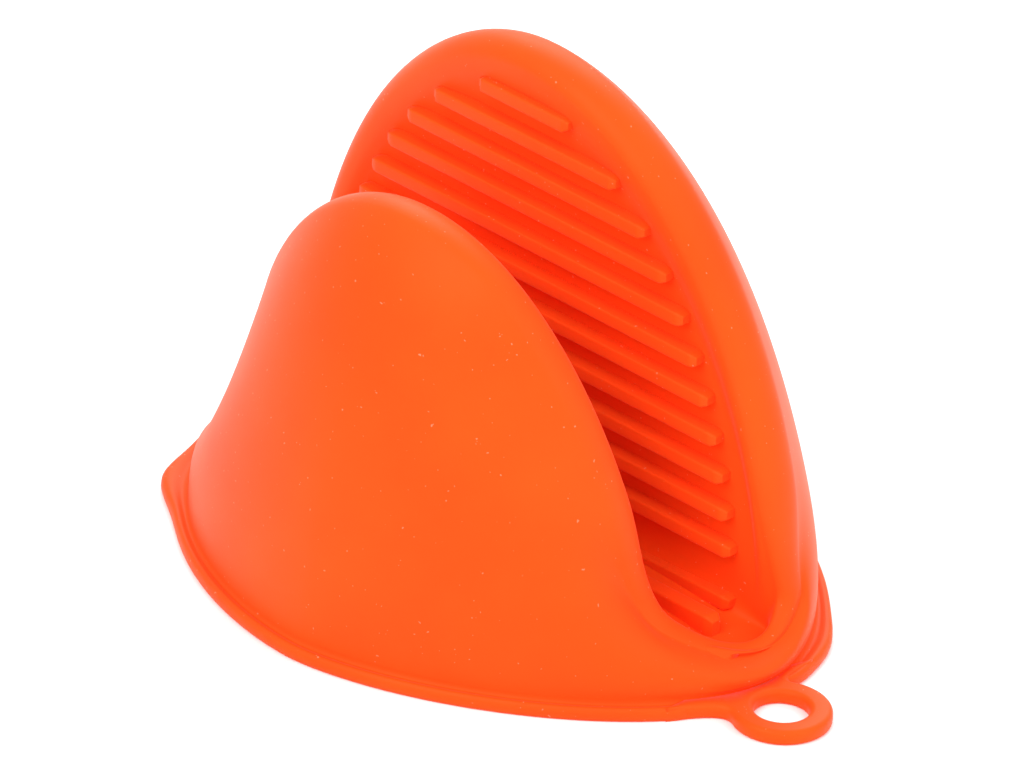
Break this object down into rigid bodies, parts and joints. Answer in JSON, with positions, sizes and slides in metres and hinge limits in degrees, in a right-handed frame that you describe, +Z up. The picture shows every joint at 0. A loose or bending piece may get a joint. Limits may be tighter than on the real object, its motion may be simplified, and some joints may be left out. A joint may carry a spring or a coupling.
{
  "type": "oven mitt",
  "caption": "Moulded orange silicone pinch mitt with a tall finger lobe, a shorter thumb lobe, ribbed grip walls and a hanging ring.",
  "frame": {"origin": "on the resting plane, under the middle of the part's own box", "axes": "+X along the fold towards the hanging ring, +Y towards the tall finger lobe, +Z up out of the mouth"},
  "size_m": [0.123, 0.0904, 0.0872],
  "materials": {
    "silicone": "satin"
  },
  "bodies": {
    "finger_half": {"finger_shell": "silicone", "finger_lip": "silicone", "finger_grip_wall": "silicone", "finger_rim": "silicone", "finger_rib_01": "silicone", "finger_rib_02": "silicone", "finger_rib_03": "silicone", "finger_rib_04": "silicone", "finger_rib_05": "silicone", "finger_rib_06": "silicone", "finger_rib_07": "silicone", "finger_rib_08": "silicone", "finger_rib_09": "silicone", "finger_rib_10": "silicone", "finger_rib_11": "silicone", "finger_rib_12": "silicone", "fold_web": "silicone", "fold_rib": "silicone", "ring_corner": "silicone", "far_corner": "silicone", "hanging_ring": "silicone"},
    "thumb_half": {"thumb_shell": "silicone", "thumb_lip": "silicone", "thumb_grip_wall": "silicone", "thumb_rim": "silicone", "thumb_rib_01": "silicone", "thumb_rib_02": "silicone", "thumb_rib_03": "silicone", "thumb_rib_04": "silicone", "thumb_rib_05": "silicone", "thumb_rib_06": "silicone", "thumb_rib_07": "silicone", "thumb_rib_08": "silicone", "thumb_rib_09": "silicone"}
  },
  "joints": [
    {"name": "pinch", "type": "hinge", "parent": "finger_half", "child": "thumb_half", "pos_m": [-0.0082, 0.0014, 0.0037], "axis": [-1, 0, 0], "range_deg": [0, 15], "stiffness_Nm_per_rad": 0.1}
  ]
}
